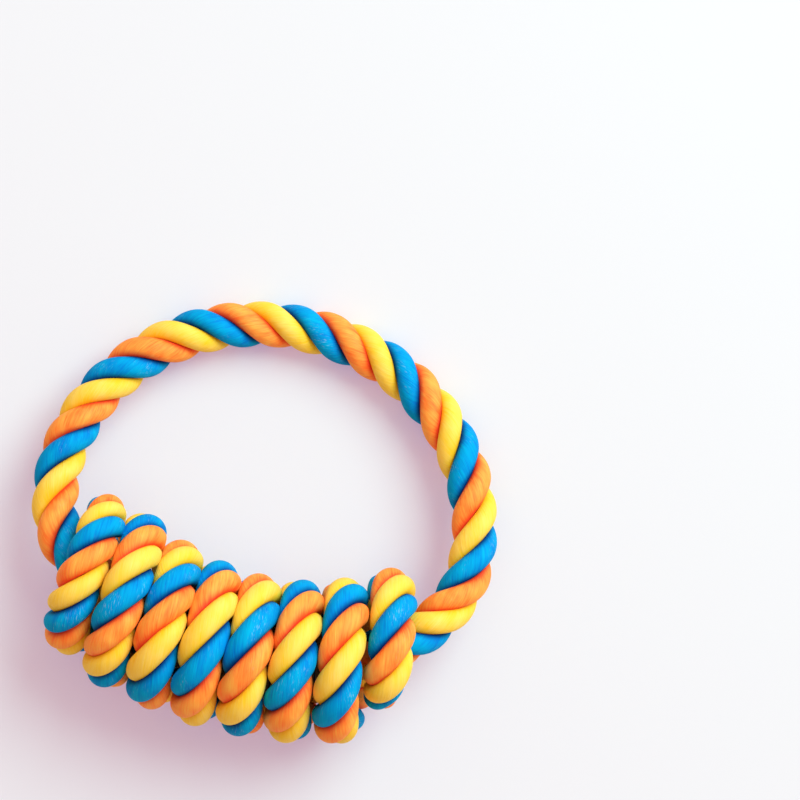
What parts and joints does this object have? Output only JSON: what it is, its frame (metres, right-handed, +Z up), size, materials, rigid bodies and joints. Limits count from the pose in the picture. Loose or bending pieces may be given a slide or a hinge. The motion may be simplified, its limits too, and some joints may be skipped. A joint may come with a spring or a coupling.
{
  "type": "rope dog toy",
  "caption": "Tug toy of multicoloured laid cotton rope: a ring whose joined ends are covered by a grip of the same rope wound tightly round them.",
  "frame": {"origin": "middle of the bounding box's footprint, on the surface that the toy lies on", "axes": "+X along the grip to its right end as pictured, +Y from the grip to the far side of the ring, +Z up"},
  "size_m": [0.1808, 0.1666, 0.0614],
  "materials": {
    "yellow_cotton": "dyed cotton yarn, matte",
    "orange_cotton": "dyed cotton yarn, matte",
    "blue_cotton": "dyed cotton yarn, matte",
    "undyed_cord": "undyed jute cord, matte"
  },
  "bodies": {
    "grip": {"winding_yellow_strand": "yellow_cotton", "winding_orange_strand": "orange_cotton", "winding_blue_strand": "blue_cotton", "core_left_yellow_strand": "yellow_cotton", "core_left_orange_strand": "orange_cotton", "core_left_blue_strand": "blue_cotton", "core_right_yellow_strand": "yellow_cotton", "core_right_orange_strand": "orange_cotton", "core_right_blue_strand": "blue_cotton", "core_seizing": "undyed_cord"},
    "ring": {"ring_yellow_strand": "yellow_cotton", "ring_orange_strand": "orange_cotton", "ring_blue_strand": "blue_cotton"}
  },
  "joints": [
    {"name": "ring_swing", "type": "hinge", "parent": "grip", "child": "ring", "pos_m": [0, -0.02972, 0.0298], "axis": [1, 0, 0], "range_deg": [-35, 55]}
  ]
}
